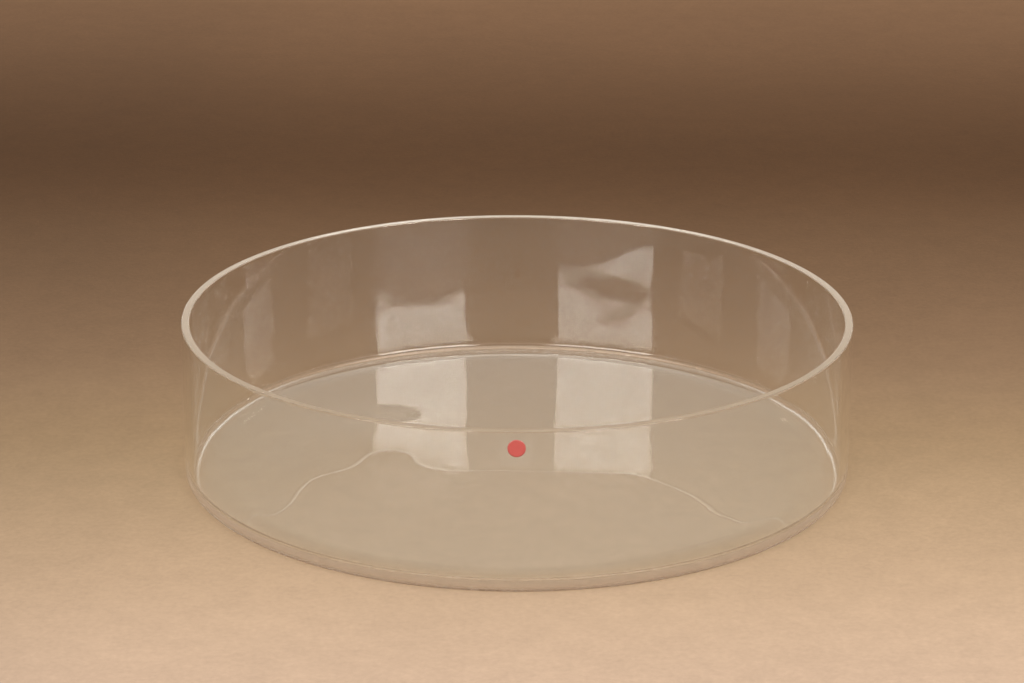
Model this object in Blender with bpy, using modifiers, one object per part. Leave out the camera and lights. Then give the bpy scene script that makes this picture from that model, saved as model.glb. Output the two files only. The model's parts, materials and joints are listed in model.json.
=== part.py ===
"""A large round dish of clear glass, with a straight wall, a flat ground rim and a round sticker.

The dish is turned about Z. Its origin is the centre of the flat base, +Z is up, and the
sticker is on the -Y side of the wall, just under the rim. The sticker is two thin pieces: a
clear carrier film with rounded corners, and the red disc that lies on it.
All sizes are in metres.
"""

import math

import bmesh
import bpy

# Driving dimensions of the dish
DISH_DIAMETER = 0.320
DISH_HEIGHT = 0.0765
WALL_THICKNESS = 0.0040
FLOOR_THICKNESS = 0.0045
RIM_ROUND = 0.0007        # radius of the two polished edges of the ground rim
INNER_FILLET = 0.0035     # radius between the floor and the wall, inside
BASE_ROUND = 0.0040       # radius between the wall and the base, outside

# Driving dimensions of the sticker
DOT_DIAMETER = 0.0080
DOT_DROP = 0.0076         # from the rim down to the centre of the red disc
FILM_WIDTH = 0.0146
FILM_MARGIN = 0.0010      # clear film above the red disc
FILM_HEIGHT = 0.0132
FILM_CORNER = 0.0022
LAYER_THICKNESS = 0.0002
LAYER_GAP = 0.0003        # clearance from the wall to the film, and from the film to the disc

# Facets
DISH_STEPS = 96
FILLET_STEPS = 6
RIM_STEPS = 3
FILM_COLUMNS = 8
CORNER_STEPS = 4
DOT_STEPS = 40
MERGE_DISTANCE = 0.00001

OUTER_RADIUS = DISH_DIAMETER / 2
INNER_RADIUS = OUTER_RADIUS - WALL_THICKNESS


def clear_scene():
    """Removes every object, so the script gives the same result each run."""
    for old in list(bpy.data.objects):
        bpy.data.objects.remove(old, do_unlink=True)


def make_collection(name):
    """A collection of that name under the scene."""
    collection = bpy.data.collections.new(name)
    bpy.context.scene.collection.children.link(collection)
    return collection


def make_material(name, colour, roughness, transmission=0.0, alpha=1.0):
    """A Principled material. Nothing on this object is metallic."""
    material = bpy.data.materials.new(name)
    material.use_nodes = True
    shader = material.node_tree.nodes["Principled BSDF"]
    shader.inputs["Base Color"].default_value = (*colour, 1.0)
    shader.inputs["Roughness"].default_value = roughness
    shader.inputs["Metallic"].default_value = 0.0
    shader.inputs["Transmission Weight"].default_value = transmission
    shader.inputs["Alpha"].default_value = alpha
    return material


def arc(centre_x, centre_z, radius, start, end, steps):
    """Points along an arc of a profile, from start to end degrees, both ends included."""
    points = []
    for step in range(steps + 1):
        angle = math.radians(start + (end - start) * step / steps)
        points.append((centre_x + radius * math.cos(angle), centre_z + radius * math.sin(angle)))
    return points


def dish_profile():
    """Half section of the dish: along the floor, up inside, over the rim, down outside, under."""
    fillet_x = INNER_RADIUS - INNER_FILLET
    fillet_z = FLOOR_THICKNESS + INNER_FILLET
    rim_z = DISH_HEIGHT - RIM_ROUND
    base_x = OUTER_RADIUS - BASE_ROUND
    points = [(0.0, FLOOR_THICKNESS)]
    points += arc(fillet_x, fillet_z, INNER_FILLET, -90, 0, FILLET_STEPS)
    points += arc(INNER_RADIUS + RIM_ROUND, rim_z, RIM_ROUND, 180, 90, RIM_STEPS)
    points += arc(OUTER_RADIUS - RIM_ROUND, rim_z, RIM_ROUND, 90, 0, RIM_STEPS)
    points += arc(base_x, BASE_ROUND, BASE_ROUND, 0, -90, FILLET_STEPS)
    points.append((0.0, 0.0))
    return points


def turned_object(name, profile, steps, material, collection):
    """A solid of revolution about Z from an open profile in the XZ plane, by a Screw modifier."""
    mesh = bpy.data.meshes.new(name)
    vertices = [(x, 0.0, z) for x, z in profile]
    edges = [(i, i + 1) for i in range(len(profile) - 1)]
    mesh.from_pydata(vertices, edges, [])
    mesh.materials.append(material)
    turned = bpy.data.objects.new(name, mesh)
    collection.objects.link(turned)
    screw = turned.modifiers.new("turn", "SCREW")
    screw.axis = "Z"
    screw.angle = math.tau
    screw.steps = steps
    screw.render_steps = steps
    screw.use_merge_vertices = True
    screw.merge_threshold = MERGE_DISTANCE
    screw.use_smooth_shade = True
    return turned


def wrap_on_wall(flat, radius, height):
    """Bends a flat patch, drawn in XY about (0, 0), round the -Y side of a cylinder about Z."""
    for vertex in flat.verts:
        across, up, _ = vertex.co
        angle = across / radius
        vertex.co = (radius * math.sin(angle), -radius * math.cos(angle), height + up)


def layer_object(name, flat, radius, height, material, collection):
    """A thin layer round the wall: the flat patch wrapped at a radius and thickened outwards."""
    wrap_on_wall(flat, radius, height)
    bmesh.ops.recalc_face_normals(flat, faces=flat.faces)
    if flat.faces[:][0].normal.y > 0:
        bmesh.ops.reverse_faces(flat, faces=flat.faces)
    mesh = bpy.data.meshes.new(name)
    flat.to_mesh(mesh)
    flat.free()
    mesh.shade_smooth()
    mesh.materials.append(material)
    layer = bpy.data.objects.new(name, mesh)
    collection.objects.link(layer)
    solidify = layer.modifiers.new("thickness", "SOLIDIFY")
    solidify.thickness = LAYER_THICKNESS
    solidify.offset = 1.0
    solidify.use_even_offset = True
    return layer


def film_outline():
    """The flat carrier film: a rectangle of narrow columns with rounded corners."""
    flat = bmesh.new()
    bmesh.ops.create_grid(flat, x_segments=FILM_COLUMNS, y_segments=1, size=0.5)
    bmesh.ops.scale(flat, vec=(FILM_WIDTH, FILM_HEIGHT, 1.0), verts=flat.verts)
    corners = [vertex for vertex in flat.verts if len(vertex.link_edges) == 2]
    bmesh.ops.bevel(
        flat, geom=corners, offset=FILM_CORNER, segments=CORNER_STEPS, profile=0.5, affect="VERTICES"
    )
    return flat


def dot_outline():
    """The flat red disc, as triangles about its centre."""
    flat = bmesh.new()
    bmesh.ops.create_circle(
        flat, cap_ends=True, cap_tris=True, segments=DOT_STEPS, radius=DOT_DIAMETER / 2
    )
    return flat


def build_dish(collection):
    """The one-piece glass dish."""
    glass = make_material("clear_glass", (0.93, 0.96, 0.94), 0.02, transmission=1.0)
    return turned_object("glass_dish", dish_profile(), DISH_STEPS, glass, collection)


def build_sticker(collection):
    """The carrier film just outside the wall, and the red disc just outside the film."""
    film_material = make_material("clear_film", (0.95, 0.95, 0.95), 0.12, transmission=1.0, alpha=0.25)
    dot_material = make_material("red_ink", (0.60, 0.06, 0.07), 0.35)
    dot_height = DISH_HEIGHT - DOT_DROP
    film_top = dot_height + DOT_DIAMETER / 2 + FILM_MARGIN
    film_height = film_top - FILM_HEIGHT / 2
    film_radius = OUTER_RADIUS + LAYER_GAP
    dot_radius = film_radius + LAYER_THICKNESS + LAYER_GAP
    layer_object("label_film", film_outline(), film_radius, film_height, film_material, collection)
    layer_object("label_dot", dot_outline(), dot_radius, dot_height, dot_material, collection)


def main():
    clear_scene()
    collection = make_collection("round_glass_dish")
    build_dish(collection)
    build_sticker(collection)


main()
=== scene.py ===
"""The looks of the round glass dish: fine meshes, glass, a sticker, and a plain paper studio.

Everything is in metres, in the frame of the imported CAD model: the dish stands on z = 0 with its
axis on Z, and its sticker faces -Y.
"""

import json
import math

import bmesh
import bpy
from mathutils import Euler, Matrix, Vector


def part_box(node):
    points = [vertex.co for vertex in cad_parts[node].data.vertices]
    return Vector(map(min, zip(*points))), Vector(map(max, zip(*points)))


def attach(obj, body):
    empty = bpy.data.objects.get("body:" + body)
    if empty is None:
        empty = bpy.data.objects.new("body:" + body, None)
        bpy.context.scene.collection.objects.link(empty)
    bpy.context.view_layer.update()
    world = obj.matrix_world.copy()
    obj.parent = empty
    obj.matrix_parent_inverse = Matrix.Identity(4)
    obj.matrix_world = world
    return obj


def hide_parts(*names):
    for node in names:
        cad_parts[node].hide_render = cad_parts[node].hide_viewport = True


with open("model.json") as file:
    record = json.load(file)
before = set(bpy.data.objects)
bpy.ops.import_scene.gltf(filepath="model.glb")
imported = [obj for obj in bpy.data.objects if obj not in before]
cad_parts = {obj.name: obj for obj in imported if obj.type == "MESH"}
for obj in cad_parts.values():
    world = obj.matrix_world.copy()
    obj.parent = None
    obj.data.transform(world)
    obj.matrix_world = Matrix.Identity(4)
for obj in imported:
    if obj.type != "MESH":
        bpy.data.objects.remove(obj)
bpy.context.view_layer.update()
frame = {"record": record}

# ---------------------------------------------------------------- sizes taken from the frame
MOUNTS = {mount["name"]: mount for mount in frame["record"]["mounts"]}
DISH_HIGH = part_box("glass_dish")[1]
OUTER_RADIUS = DISH_HIGH.x
DISH_HEIGHT = DISH_HIGH.z
WALL_THICKNESS = 2 * (OUTER_RADIUS - MOUNTS["rim"]["pos_m"][0])
FLOOR_THICKNESS = MOUNTS["floor"]["pos_m"][2]
INNER_RADIUS = OUTER_RADIUS - WALL_THICKNESS

# ---------------------------------------------------------------- the dish's fine shape
TURN_STEPS = 288
RIM_ROUND = 0.0007
INNER_FILLET = 0.0035
BASE_ROUND = 0.0040
FLOOR_RINGS = 46
WALL_ROWS = 14
ARC_STEPS = 12
RIM_STEPS = 4
SUPPORT = 0.0004          # an extra ring this far from each rounded edge keeps the flats flat

# Low swells of the uneven floor, which bends as one sheet: x, y, radius, height
FLOOR_SWELLS = (
    (-0.072, 0.026, 0.023, 0.0020),
    (-0.103, -0.013, 0.024, 0.0010),
    (0.067, -0.003, 0.019, 0.0003),
    (0.081, -0.112, 0.024, 0.0009),
)
FLOOR_LIFT = 0.0008       # the middle of the base stands clear of the table, on the base's edge
FLOOR_EDGE = 0.012        # the lift and the swells fade out over this width at the fillet
WALL_WAVE = 0.00010       # the uneven wall is drawn in by up to about twice this
RIM_SATIN = 0.25          # roughness of the ground rim
RIM_FROST = 0.95          # how much of the light inside the rim its ground face scatters
RIM_SHINE = 0.60          # how much less it scatters light that comes from outside
RIM_CHALK = 0.36          # share of the frost that sends outside light back, where y is 0
PAINTED_RIM_LIGHT_SLOPE = 2.0         # how much that share grows per metre of y, so the back is paler: painted light, in place of the lamp light that the back of the rim catches
FOOT_SATIN = 0.12         # roughness of the worn flat underside
ROUND_SATIN = 0.27        # the same halfway round the foot, where it rubs most
SIDE_SATIN = 0.08         # the same where the foot's rounding meets the wall
FOOT_WEAR = 0.30          # share of the underside that is dull with wear and dust
SHADE_CLEAR = (0.95, 0.96, 0.955)   # what each face lets through to the paper under it
SHADE_FOOT = (0.85, 0.83, 0.80)     # the same at the rounded foot

# ---------------------------------------------------------------- glass; noise scales are per metre
GLASS_COLOUR = (0.985, 0.992, 0.988, 1.0)
GLASS_IOR = 1.5
SMUDGE_SCALE = 38.0
SMUDGE_START = 0.52       # noise value above which the glass is smudged
SMUDGE_HAZE = 0.035       # most roughness that a smudge adds
RIPPLE_SCALE = 22.0
RIPPLE_DEPTH = 0.002
RIPPLE_STRENGTH = 0.06
WEAR_SCALE = 90.0
FROST_COLOUR = (0.92, 0.93, 0.93, 1.0)
CHALK_COLOUR = (0.86, 0.81, 0.76, 1.0)
DUST_COLOUR = (0.27, 0.19, 0.135, 1.0)

# ---------------------------------------------------------------- sticker
LAYER_THICKNESS = 0.00006
FILM_LIFT = 0.00004       # air under the film
DOT_LIFT = 0.00014        # from the wall to the underside of the red print
FILM_CORNER = 0.0022
FILM_COLUMNS = 24
FILM_ROWS = 20
DOT_RINGS = 8
DOT_STEPS = 64
FILM_COLOUR = (0.90, 0.90, 0.88, 1.0)
FILM_ALPHA = 0.008
FILM_GRAIN = 900.0
INK_DARK = (0.27, 0.045, 0.042)
INK_PALE = (0.33, 0.060, 0.055)
INK_GRAIN = 1400.0

# ---------------------------------------------------------------- camera
SENSOR_WIDTH = 0.036
IMAGE_WIDTH = 1024
CAMERA_DISTANCE = 10 * OUTER_RADIUS   # a choice; the outline fits about as well from farther away
CAMERA_ELEVATION = math.radians(18.745)
CAMERA_DIP = math.radians(-0.485)
CAMERA_PAN = math.radians(-0.090)
CAMERA_ROLL = math.radians(0.159)
LENS_PIXELS = 3348.6      # focal length, in units of the picture's width / IMAGE_WIDTH

# ---------------------------------------------------------------- paper
PAPER_RADIUS = 9.0
PAPER_DROP = 0.0003       # the dish stands this far above the paper, so their faces don't fight
PAPER_STEPS = 96
PAPER_ROUGHNESS = 0.85
PAPER_SHEEN = 0.2
# Colour from front to back: the paper's pale tone in front, then painted shade that darkens it towards
# the back where the lamps' light falls off, and painted light that lifts it again at the far back; a
# position is 0.5 + y / 2
PAPER_TONES_AND_SHADE = (
    (0.36, (0.34, 0.25, 0.19)),
    (0.42, (0.32, 0.23, 0.16)),
    (0.50, (0.24, 0.165, 0.10)),
    (0.57, (0.175, 0.11, 0.065)),
    (0.70, (0.10, 0.053, 0.026)),
    (0.80, (0.080, 0.038, 0.016)),
    (0.97, (0.17, 0.093, 0.05)),
)
PAPER_SIDE_SHADE = ((0.22, 0.89), (0.38, 1.0), (0.80, 1.02))   # painted shade, darker on the left side; a position is 0.5 + x
# Grain of the paper: noise scale, detail, roughness, and the least and the span of its brightness
PAPER_GRAIN = (
    (330.0, 4.0, 0.7, 0.83, 0.34),
    (60.0, 3.0, 0.6, 0.90, 0.20),
    (7.0, 2.0, 0.5, 0.93, 0.14),
)

# ---------------------------------------------------------------- lamps and room
SOFTBOX_DISTANCE = 1.72
SOFTBOX_COLOUR = (1.0, 0.95, 0.88)
# Name, azimuth and elevation in degrees, width, height, power in watts, height of the hem
SOFTBOXES = (
    ("softbox_left", -34.5, 30.2, 1.14, 0.79, 25.8, 0.012),
    ("softbox_right", 37.5, 29.85, 1.06, 0.79, 28.3, 0.014),
)
HEM_DIM = 0.30            # how bright a softbox's cloth hem is, next to its panel
HEM_BLUR = 0.003          # half the height over which the hem passes into the panel
ROOM_TONES = ((0.0, (1.4, 1.3, 1.15)), (0.5, (0.78, 0.74, 0.66)), (1.0, (0.59, 0.53, 0.45)))
ROOM_FOOT = ((0.04, 0.0), (0.14, 1.0))    # how the paper's brown gives way to the walls, by height
ROOM_LEVELS = ((0.40, 1.0), (0.52, 0.50), (0.80, 0.45), (0.92, 2.6))   # brightness, by height
LOW_COLOUR = (0.20, 0.14, 0.09, 1.0)

# ---------------------------------------------------------------- light paths
BOUNCES = 64
CLEAR_BOUNCES = 24        # clear faces that a shadow ray may cross


# ================================================================ small helpers
def arc(centre, radius, start, end, steps):
    """Points (r, z) of an arc of a profile, from start to end degrees, both ends included."""
    points = []
    for step in range(steps + 1):
        angle = math.radians(start + (end - start) * step / steps)
        points.append((centre[0] + radius * math.cos(angle), centre[1] + radius * math.sin(angle)))
    return points


def straight(start, end, steps):
    """Points strictly between two profile points, with a support ring near each end."""
    start, end = Vector(start), Vector(end)
    length = (end - start).length
    inset = SUPPORT / length
    shares = [inset]
    shares += [inset + (1 - 2 * inset) * step / steps for step in range(1, steps)]
    shares.append(1 - inset)
    return [tuple(start.lerp(end, share)) for share in shares]


def smooth_step(value, low, high):
    """0 below low, 1 above high, and an easy curve between them."""
    share = min(1.0, max(0.0, (value - low) / (high - low)))
    return share * share * (3 - 2 * share)


def new_object(name, mesh, material):
    """An object of that mesh in the scene, smooth, with one material."""
    mesh.shade_smooth()
    mesh.materials.append(material)
    made = bpy.data.objects.new(name, mesh)
    bpy.context.scene.collection.objects.link(made)
    return made


# ================================================================ the dish
def floor_relief(x, y):
    """Height of the uneven floor above the level it has at its edge."""
    height = FLOOR_LIFT
    for centre_x, centre_y, radius, rise in FLOOR_SWELLS:
        distance = math.hypot(x - centre_x, y - centre_y)
        height += rise * math.exp(-0.5 * (distance / radius) ** 2)
    edge = INNER_RADIUS - INNER_FILLET
    return height * (1 - smooth_step(math.hypot(x, y), edge - FLOOR_EDGE, edge))


def wall_wander(angle, height):
    """The wall's wander at that angle and height: a length with a sign, a few waves round."""
    share = height / DISH_HEIGHT
    wave = math.sin(2 * angle + 0.7) + 0.6 * math.sin(5 * angle + 3.0 * share + 1.9)
    wave += 0.35 * math.sin(11 * angle - 5.0 * share)
    return WALL_WAVE * wave * smooth_step(share, 0.02, 0.3)


def with_satin(points, first, last=None):
    """Profile points with their roughness, which runs evenly from first to last."""
    last = first if last is None else last
    steps = max(1, len(points) - 1)
    return [(*point, first + (last - first) * step / steps) for step, point in enumerate(points)]


def dish_profile():
    """Half section (r, z, roughness) from the floor's centre, over the rim and down to the base."""
    fillet = (INNER_RADIUS - INNER_FILLET, FLOOR_THICKNESS + INNER_FILLET)
    rim_z = DISH_HEIGHT - RIM_ROUND
    base = (OUTER_RADIUS - BASE_ROUND, BASE_ROUND)
    inner_arc = arc(fillet, INNER_FILLET, -90, 0, ARC_STEPS)
    rim_inner = arc((INNER_RADIUS + RIM_ROUND, rim_z), RIM_ROUND, 180, 90, RIM_STEPS)
    rim_outer = arc((OUTER_RADIUS - RIM_ROUND, rim_z), RIM_ROUND, 90, 0, RIM_STEPS)
    base_side = arc(base, BASE_ROUND, 0, -40, ARC_STEPS // 2)
    base_foot = arc(base, BASE_ROUND, -40, -90, ARC_STEPS // 2)
    profile = with_satin(straight((0.0, FLOOR_THICKNESS), inner_arc[0], FLOOR_RINGS), 0.0)
    profile += with_satin(inner_arc, 0.0)
    profile += with_satin(straight(inner_arc[-1], rim_inner[0], WALL_ROWS), 0.0)
    profile += with_satin(rim_inner, 0.0, RIM_SATIN)
    profile += with_satin(straight(rim_inner[-1], rim_outer[0], 2), RIM_SATIN)
    profile += with_satin(rim_outer, RIM_SATIN, 0.0)
    profile += with_satin(straight(rim_outer[-1], base_side[0], WALL_ROWS), 0.0)
    profile += with_satin(base_side, SIDE_SATIN, ROUND_SATIN)
    profile += with_satin(base_foot[1:], ROUND_SATIN, FOOT_SATIN)
    profile += with_satin(straight(base_foot[-1], (0.0, 0.0), FLOOR_RINGS), FOOT_SATIN)
    return profile


def dish_point(radius, height, angle):
    """One point of the turned surface, with the floor's swells and the wall drawn in by its wander."""
    if radius > INNER_RADIUS - INNER_FILLET:
        radius -= abs(wall_wander(angle, height))
    x, y = radius * math.cos(angle), radius * math.sin(angle)
    return x, y, height + floor_relief(x, y)


def build_dish(material):
    """The glass dish, turned about Z ring by ring."""
    body = bmesh.new()
    satin_layer = body.verts.layers.float.new("satin")
    rings = []
    for radius, height, satin in dish_profile():
        ring = []
        for step in range(TURN_STEPS):
            angle = math.tau * step / TURN_STEPS
            ring.append(body.verts.new(dish_point(radius, height, angle)))
            ring[-1][satin_layer] = satin
        rings.append(ring)
    for lower, upper in zip(rings, rings[1:]):
        for step in range(TURN_STEPS):
            after = (step + 1) % TURN_STEPS
            body.faces.new((lower[step], lower[after], upper[after], upper[step]))
    top = body.verts.new(dish_point(0.0, FLOOR_THICKNESS, 0.0))
    bottom = body.verts.new(dish_point(0.0, 0.0, 0.0))
    bottom[satin_layer] = FOOT_SATIN
    for step in range(TURN_STEPS):
        after = (step + 1) % TURN_STEPS
        body.faces.new((top, rings[0][after], rings[0][step]))
        body.faces.new((bottom, rings[-1][step], rings[-1][after]))
    bmesh.ops.recalc_face_normals(body, faces=body.faces)
    mesh = bpy.data.meshes.new("dish_glass")
    body.to_mesh(mesh)
    body.free()
    return new_object("dish_glass", mesh, material)


# ================================================================ the sticker
def wrapped_layer(name, flat, radius, height, material):
    """A flat patch bent round the wall at a radius, and thickened outwards."""
    for vertex in flat.verts:
        across, up, _ = vertex.co
        angle = across / radius
        vertex.co = (radius * math.sin(angle), -radius * math.cos(angle), height + up)
    bmesh.ops.recalc_face_normals(flat, faces=flat.faces)
    if flat.faces[:][0].normal.y > 0:
        bmesh.ops.reverse_faces(flat, faces=flat.faces)
    mesh = bpy.data.meshes.new(name)
    flat.to_mesh(mesh)
    flat.free()
    layer = new_object(name, mesh, material)
    solidify = layer.modifiers.new("thickness", "SOLIDIFY")
    solidify.thickness = LAYER_THICKNESS
    solidify.offset = 1.0
    return layer


def build_film(material):
    """The clear carrier film: a rectangle with rounded corners."""
    low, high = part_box("label_film")
    flat = bmesh.new()
    bmesh.ops.create_grid(flat, x_segments=FILM_COLUMNS, y_segments=FILM_ROWS, size=0.5)
    width, height = high.x - low.x, high.z - low.z
    bmesh.ops.scale(flat, vec=(width, height, 1.0), verts=flat.verts)
    for vertex in flat.verts:
        round_corner(vertex, width / 2, height / 2, FILM_CORNER)
    return wrapped_layer(
        "sticker_film", flat, OUTER_RADIUS + FILM_LIFT, (low.z + high.z) / 2, material
    )


def round_corner(vertex, half_width, half_height, corner):
    """Pulls a point of a rectangle that lies in a corner square inside the corner's round."""
    over_x = abs(vertex.co.x) - (half_width - corner)
    over_y = abs(vertex.co.y) - (half_height - corner)
    if over_x <= 0 or over_y <= 0:
        return
    reach = max(over_x, over_y) / math.hypot(over_x, over_y)
    vertex.co.x = math.copysign(half_width - corner + over_x * reach, vertex.co.x)
    vertex.co.y = math.copysign(half_height - corner + over_y * reach, vertex.co.y)


def build_dot(material):
    """The plain red disc printed on the film."""
    low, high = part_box("label_dot")
    flat = bmesh.new()
    radius = (high.z - low.z) / 2
    previous = [flat.verts.new((0.0, 0.0, 0.0))]
    for ring in range(1, DOT_RINGS + 1):
        reach = radius * ring / DOT_RINGS
        current = []
        for step in range(DOT_STEPS):
            angle = math.tau * step / DOT_STEPS
            current.append(flat.verts.new((reach * math.cos(angle), reach * math.sin(angle), 0.0)))
        for step in range(DOT_STEPS):
            after = (step + 1) % DOT_STEPS
            if ring == 1:
                flat.faces.new((previous[0], current[step], current[after]))
            else:
                flat.faces.new((previous[step], current[step], current[after], previous[after]))
        previous = current
    return wrapped_layer(
        "sticker_dot", flat, OUTER_RADIUS + DOT_LIFT, (low.z + high.z) / 2, material
    )


# ================================================================ materials
class Graph:
    """A short way to add and join shader nodes of one material or world."""

    def __init__(self, owner):
        owner.use_nodes = True
        self.tree = owner.node_tree
        self.tree.nodes.clear()

    def add(self, kind, **values):
        """A node, with its attributes or input values set; a socket given as a value is joined."""
        node = self.tree.nodes.new(kind)
        for key, value in values.items():
            if hasattr(node, key):
                setattr(node, key, value)
            else:
                self.put(node.inputs[key.replace("_", " ")], value)
        return node

    def put(self, socket, value):
        """Joins an output socket to an input, or sets the input's value."""
        if isinstance(value, bpy.types.NodeSocket):
            self.tree.links.new(value, socket)
        else:
            socket.default_value = value

    def math(self, operation, *values, clamp=False):
        """A Math node's result."""
        node = self.tree.nodes.new("ShaderNodeMath")
        node.operation = operation
        node.use_clamp = clamp
        for socket, value in zip(node.inputs, values):
            self.put(socket, value)
        return node.outputs[0]

    def ramp(self, value, *stops, curve="EASE"):
        """A colour ramp of (position, colour) stops; a colour can be one grey number."""
        node = self.tree.nodes.new("ShaderNodeValToRGB")
        node.color_ramp.interpolation = curve
        elements = node.color_ramp.elements
        while len(elements) < len(stops):
            elements.new(0.5)
        for element, (position, colour) in zip(elements, stops):
            element.position = position
            if isinstance(colour, (int, float)):
                colour = (colour, colour, colour)
            element.color = (*colour, 1.0)
        self.put(node.inputs["Fac"], value)
        return node.outputs["Color"]

    def mix_shader(self, factor, first, second):
        """A Mix Shader's result: first where factor is 0, second where it is 1."""
        node = self.tree.nodes.new("ShaderNodeMixShader")
        for socket, value in zip(node.inputs, (factor, first, second)):
            self.put(socket, value)
        return node.outputs[0]

    def product(self, *values):
        """All the values multiplied together."""
        result = values[0]
        for value in values[1:]:
            result = self.math("MULTIPLY", result, value)
        return result

    def scaled(self, colour, factor):
        """A colour times a number."""
        node = self.add("ShaderNodeVectorMath", operation="SCALE")
        self.put(node.inputs[0], colour)
        self.put(node.inputs["Scale"], factor)
        return node.outputs[0]

    def noise(self, vector, scale, detail=2.0, roughness=0.5):
        """A noise texture's value."""
        node = self.add("ShaderNodeTexNoise", Vector=vector, Scale=scale, Detail=detail)
        node.inputs["Roughness"].default_value = roughness
        return node.outputs[0]


def glass_material():
    """Clear glass with faint smudges and ripples, a satin rim and a worn underside.

    Light on its way to the paper passes straight through, so the paper under the dish is lit.
    """
    material = bpy.data.materials.new("dish_glass")
    graph = Graph(material)
    place = graph.add("ShaderNodeTexCoord").outputs["Object"]
    satin = graph.add("ShaderNodeAttribute", attribute_name="satin").outputs["Fac"]
    inside = graph.add("ShaderNodeNewGeometry").outputs["Backfacing"]
    shader = polished_shader(graph, place, satin)
    face = graph.math("MULTIPLY_ADD", inside, RIM_SHINE, 1 - RIM_SHINE)
    frost = satin_share(graph, place, satin, "GREATER_THAN", RIM_FROST / RIM_SATIN)
    frost = graph.product(frost, face)
    shader = graph.mix_shader(frost, shader, frosted_shader(graph, place, inside))
    wear = satin_share(graph, place, satin, "LESS_THAN", FOOT_WEAR / FOOT_SATIN)
    patches = graph.math("MULTIPLY_ADD", graph.noise(place, WEAR_SCALE, 4.0, 0.65), 0.8, 0.6)
    dust = graph.add("ShaderNodeBsdfDiffuse", Color=DUST_COLOUR).outputs[0]
    shader = graph.mix_shader(graph.product(wear, patches), shader, dust)
    clear = graph.add("ShaderNodeBsdfTransparent", Color=shade_colour(graph, place)).outputs[0]
    path = graph.add("ShaderNodeLightPath")
    for ray in ("Is Diffuse Ray", "Is Shadow Ray"):
        shader = graph.mix_shader(path.outputs[ray], shader, clear)
    graph.add("ShaderNodeOutputMaterial", Surface=shader)
    return material


def polished_shader(graph, place, satin):
    """Refracting glass, as rough as its satin value and its smudges, with a faint ripple."""
    smudge = graph.noise(place, SMUDGE_SCALE, 4.0, 0.6)
    haze = graph.ramp(smudge, (SMUDGE_START, 0.0), (0.80, SMUDGE_HAZE))
    ripple = graph.noise(place, RIPPLE_SCALE, 1.0)
    bump = graph.add(
        "ShaderNodeBump", Strength=RIPPLE_STRENGTH, Distance=RIPPLE_DEPTH, Height=ripple
    )
    glass = graph.add(
        "ShaderNodeBsdfPrincipled",
        Base_Color=GLASS_COLOUR,
        Roughness=graph.math("ADD", satin, haze),
        IOR=GLASS_IOR,
        Normal=bump.outputs[0],
    )
    glass.inputs["Transmission Weight"].default_value = 1.0
    return glass.outputs[0]


def shade_colour(graph, place):
    """How much light a face lets through to the paper: less at the rounded foot, which bends it."""
    axes = graph.add("ShaderNodeSeparateXYZ", Vector=place)
    flat = graph.add("ShaderNodeCombineXYZ", X=axes.outputs["X"], Y=axes.outputs["Y"])
    reach = graph.add("ShaderNodeVectorMath", operation="LENGTH")
    graph.put(reach.inputs[0], flat.outputs[0])
    outer = graph.math("GREATER_THAN", reach.outputs["Value"], OUTER_RADIUS - BASE_ROUND)
    low = graph.math("LESS_THAN", axes.outputs["Z"], BASE_ROUND * 1.2)
    return graph.ramp(graph.product(outer, low), (0.0, SHADE_CLEAR), (1.0, SHADE_FOOT))


def satin_share(graph, place, satin, side, gain):
    """The satin roughness times a gain, only above or only below half the dish's height."""
    height = graph.add("ShaderNodeSeparateXYZ", Vector=place).outputs["Z"]
    chosen = graph.math(side, height, DISH_HEIGHT / 2)
    return graph.product(satin, gain, chosen)


def frosted_shader(graph, place, inside):
    """The ground rim: it scatters light on its way through, and sends some outside light back; the
    share sent back grows towards the back, painted light for the lamp light the back of the rim
    catches.
    """
    depth = graph.add("ShaderNodeSeparateXYZ", Vector=place).outputs["Y"]
    # painted light: the share sent back grows with y, so the back of the rim is paler and the front
    # darker
    chalk_and_painted_light = graph.math("MULTIPLY_ADD", depth, PAINTED_RIM_LIGHT_SLOPE, RIM_CHALK)
    outside = graph.math("SUBTRACT", 1.0, inside)
    chalk_and_painted_light = graph.math("MULTIPLY", chalk_and_painted_light, outside, clamp=True)
    through = graph.add("ShaderNodeBsdfTranslucent", Color=FROST_COLOUR).outputs[0]
    back = graph.add("ShaderNodeBsdfDiffuse", Color=CHALK_COLOUR).outputs[0]
    return graph.mix_shader(chalk_and_painted_light, through, back)


def film_material():
    """The sticker's clear film: nearly invisible, with a soft sheen."""
    material = bpy.data.materials.new("sticker_film")
    graph = Graph(material)
    place = graph.add("ShaderNodeTexCoord").outputs["Object"]
    grain = graph.noise(place, FILM_GRAIN)
    film = graph.add(
        "ShaderNodeBsdfPrincipled",
        Base_Color=FILM_COLOUR,
        Roughness=graph.ramp(grain, (0.3, 0.30), (0.7, 0.45)),
        Alpha=FILM_ALPHA,
    )
    graph.add("ShaderNodeOutputMaterial", Surface=film.outputs[0])
    return material


def dot_material():
    """Red print with a faint grain."""
    material = bpy.data.materials.new("sticker_dot")
    graph = Graph(material)
    place = graph.add("ShaderNodeTexCoord").outputs["Object"]
    grain = graph.noise(place, INK_GRAIN, 3.0, 0.7)
    colour = graph.ramp(grain, (0.25, INK_DARK), (0.75, INK_PALE))
    bump = graph.add("ShaderNodeBump", Strength=0.15, Distance=0.00005, Height=grain)
    ink = graph.add(
        "ShaderNodeBsdfPrincipled",
        Base_Color=colour,
        Roughness=graph.ramp(grain, (0.3, 0.28), (0.7, 0.42)),
        Normal=bump.outputs[0],
    )
    graph.add("ShaderNodeOutputMaterial", Surface=ink.outputs[0])
    return material


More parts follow.
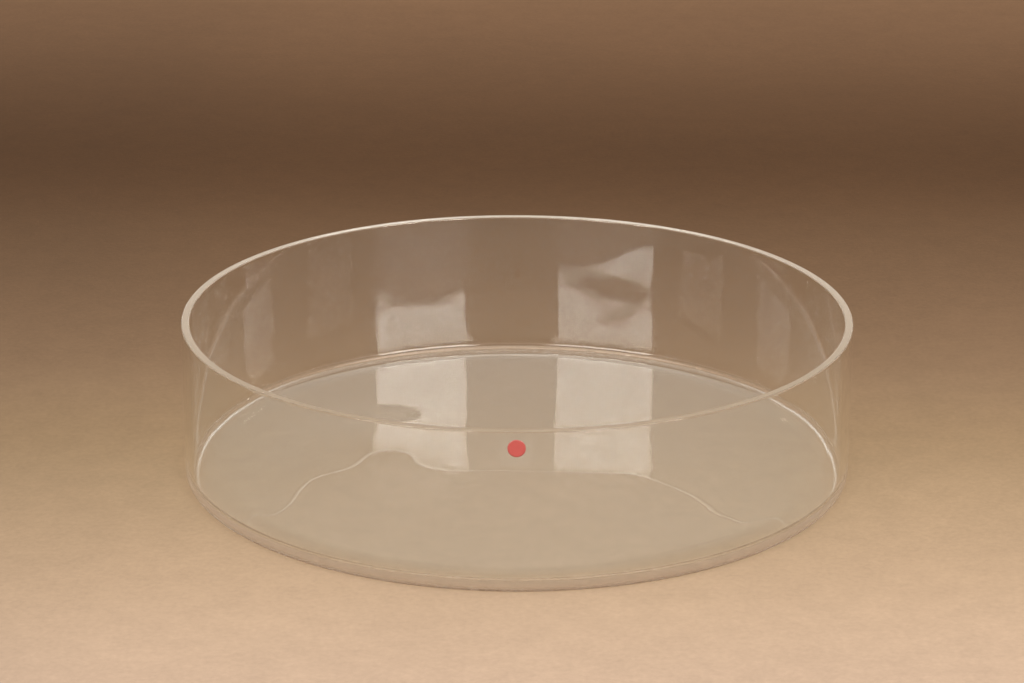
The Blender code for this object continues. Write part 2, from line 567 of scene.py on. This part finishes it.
# ================================================================ studio
def paper_material():
    """Plain paper with fibres and faint clouds, pale in front; its browning towards the back and its
    darker left side are painted shade.
    """
    material = bpy.data.materials.new("paper")
    graph = Graph(material)
    place = graph.add("ShaderNodeTexCoord").outputs["Object"]
    axes = graph.add("ShaderNodeSeparateXYZ", Vector=place)
    depth = graph.math("MULTIPLY_ADD", axes.outputs["Y"], 0.5, 0.5)
    # painted shade: the paper darkens towards the back where the lamps' light falls off, and lightens
    # again at the far back
    tone_and_shade = graph.ramp(depth, *PAPER_TONES_AND_SHADE, curve="CARDINAL")
    across = graph.math("ADD", axes.outputs["X"], 0.5)
    grains = [graph.noise(place, *grain[:3]) for grain in PAPER_GRAIN]
    factors = [
        graph.math("MULTIPLY_ADD", noise, span, least)
        for noise, (_, _, _, least, span) in zip(grains, PAPER_GRAIN)
    ]
    # painted shade: the paper's grain is multiplied by a darkening towards the left
    grain_and_side_shade = graph.product(*factors, graph.ramp(across, *PAPER_SIDE_SHADE))
    bump = graph.add("ShaderNodeBump", Strength=0.25, Distance=0.0005, Height=grains[0])
    paper = graph.add(
        "ShaderNodeBsdfPrincipled",
        Base_Color=graph.scaled(tone_and_shade, grain_and_side_shade),
        Roughness=PAPER_ROUGHNESS,
        Normal=bump.outputs[0],
    )
    paper.inputs["Specular IOR Level"].default_value = PAPER_SHEEN
    graph.add("ShaderNodeOutputMaterial", Surface=paper.outputs[0])
    return material


def build_floor():
    """The sheet of paper that the dish stands on."""
    flat = bmesh.new()
    bmesh.ops.create_circle(flat, cap_ends=True, segments=PAPER_STEPS, radius=PAPER_RADIUS)
    bmesh.ops.translate(flat, vec=(0.0, 0.0, -PAPER_DROP), verts=flat.verts)
    mesh = bpy.data.meshes.new("paper")
    flat.to_mesh(mesh)
    flat.free()
    new_object("paper", mesh, paper_material())


def add_softbox(name, azimuth, elevation, width, height, power, hem):
    """A rectangular lamp aimed at the dish; azimuth 0 is the camera's side, positive to +X."""
    lamp = bpy.data.lights.new(name, "AREA")
    lamp.shape = "RECTANGLE"
    lamp.size = width
    lamp.size_y = height
    lamp.energy = power
    lamp.color = SOFTBOX_COLOUR
    made = bpy.data.objects.new(name, lamp)
    bpy.context.scene.collection.objects.link(made)
    azimuth, elevation = math.radians(azimuth), math.radians(elevation)
    reach = SOFTBOX_DISTANCE * math.cos(elevation)
    made.location = (
        reach * math.sin(azimuth),
        -reach * math.cos(azimuth),
        SOFTBOX_DISTANCE * math.sin(elevation) + DISH_HEIGHT,
    )
    aim = Vector((0.0, 0.0, DISH_HEIGHT / 2)) - made.location
    made.rotation_euler = aim.to_track_quat("-Z", "Y").to_euler()
    made.visible_camera = False
    dim_hem(lamp, made.location.z - height / 2 * math.cos(elevation) + hem)


def dim_hem(lamp, panel_low):
    """Dims a softbox below the height at which its bright panel starts."""
    graph = Graph(lamp)
    place = graph.add("ShaderNodeNewGeometry").outputs["Position"]
    level = graph.add("ShaderNodeSeparateXYZ", Vector=place).outputs["Z"]
    glow = graph.ramp(level, (panel_low - HEM_BLUR, HEM_DIM), (panel_low + HEM_BLUR, 1.0))
    cloth = graph.add("ShaderNodeEmission", Color=glow, Strength=1.0)
    graph.add("ShaderNodeOutputLight", Surface=cloth.outputs[0])


def build_world():
    """The room: brown paper low down, and above it pale walls, brighter on the camera's side."""
    world = bpy.data.worlds.new("room")
    bpy.context.scene.world = world
    graph = Graph(world)
    way = graph.add("ShaderNodeTexCoord").outputs["Generated"]
    axes = graph.add("ShaderNodeSeparateXYZ", Vector=way)
    depth = graph.math("MULTIPLY_ADD", axes.outputs["Y"], 0.5, 0.5)
    level = graph.ramp(axes.outputs["Z"], *ROOM_LEVELS)
    mix = graph.add("ShaderNodeMix", data_type="RGBA")
    graph.put(mix.inputs[0], graph.ramp(axes.outputs["Z"], *ROOM_FOOT))
    graph.put(mix.inputs[6], LOW_COLOUR)
    graph.put(mix.inputs[7], graph.scaled(graph.ramp(depth, *ROOM_TONES), level))
    sky = graph.add("ShaderNodeBackground", Color=mix.outputs[2], Strength=1.0)
    graph.add("ShaderNodeOutputWorld", Surface=sky.outputs[0])


def build_camera():
    """The camera in front of the dish and above it, looking slightly down past its middle."""
    data = bpy.data.cameras.new("camera")
    data.sensor_width = SENSOR_WIDTH * 1000
    data.lens = LENS_PIXELS / IMAGE_WIDTH * SENSOR_WIDTH * 1000
    data.clip_start = 0.01
    data.clip_end = 50.0
    camera = bpy.data.objects.new("camera", data)
    bpy.context.scene.collection.objects.link(camera)
    tilt = -CAMERA_ELEVATION + CAMERA_DIP
    turn = Euler((math.pi / 2 + tilt, 0.0, -CAMERA_PAN)).to_matrix().to_4x4()
    place = Vector((
        0.0,
        -CAMERA_DISTANCE * math.cos(CAMERA_ELEVATION),
        DISH_HEIGHT + CAMERA_DISTANCE * math.sin(CAMERA_ELEVATION),
    ))
    camera.matrix_world = Matrix.Translation(place) @ turn @ Matrix.Rotation(CAMERA_ROLL, 4, "Z")
    bpy.context.scene.camera = camera


def set_light_paths():
    """Enough bounces for light to cross the glass several times, and a plain view transform."""
    scene = bpy.context.scene
    scene.cycles.max_bounces = BOUNCES
    scene.cycles.transmission_bounces = BOUNCES
    scene.cycles.glossy_bounces = BOUNCES
    scene.cycles.transparent_max_bounces = CLEAR_BOUNCES
    scene.cycles.caustics_reflective = False
    scene.cycles.caustics_refractive = False
    scene.view_settings.view_transform = "Standard"
    scene.view_settings.look = "None"


def main():
    dish = build_dish(glass_material())
    film = build_film(film_material())
    dot = build_dot(dot_material())
    for piece, node, slot in (
        (dish, "glass_dish", "clear_glass"),
        (film, "label_film", "clear_film"),
        (dot, "label_dot", "red_ink"),
    ):
        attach(piece, "root")
        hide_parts(node)
    build_floor()
    for softbox in SOFTBOXES:
        add_softbox(*softbox)
    build_world()
    build_camera()
    set_light_paths()


main()
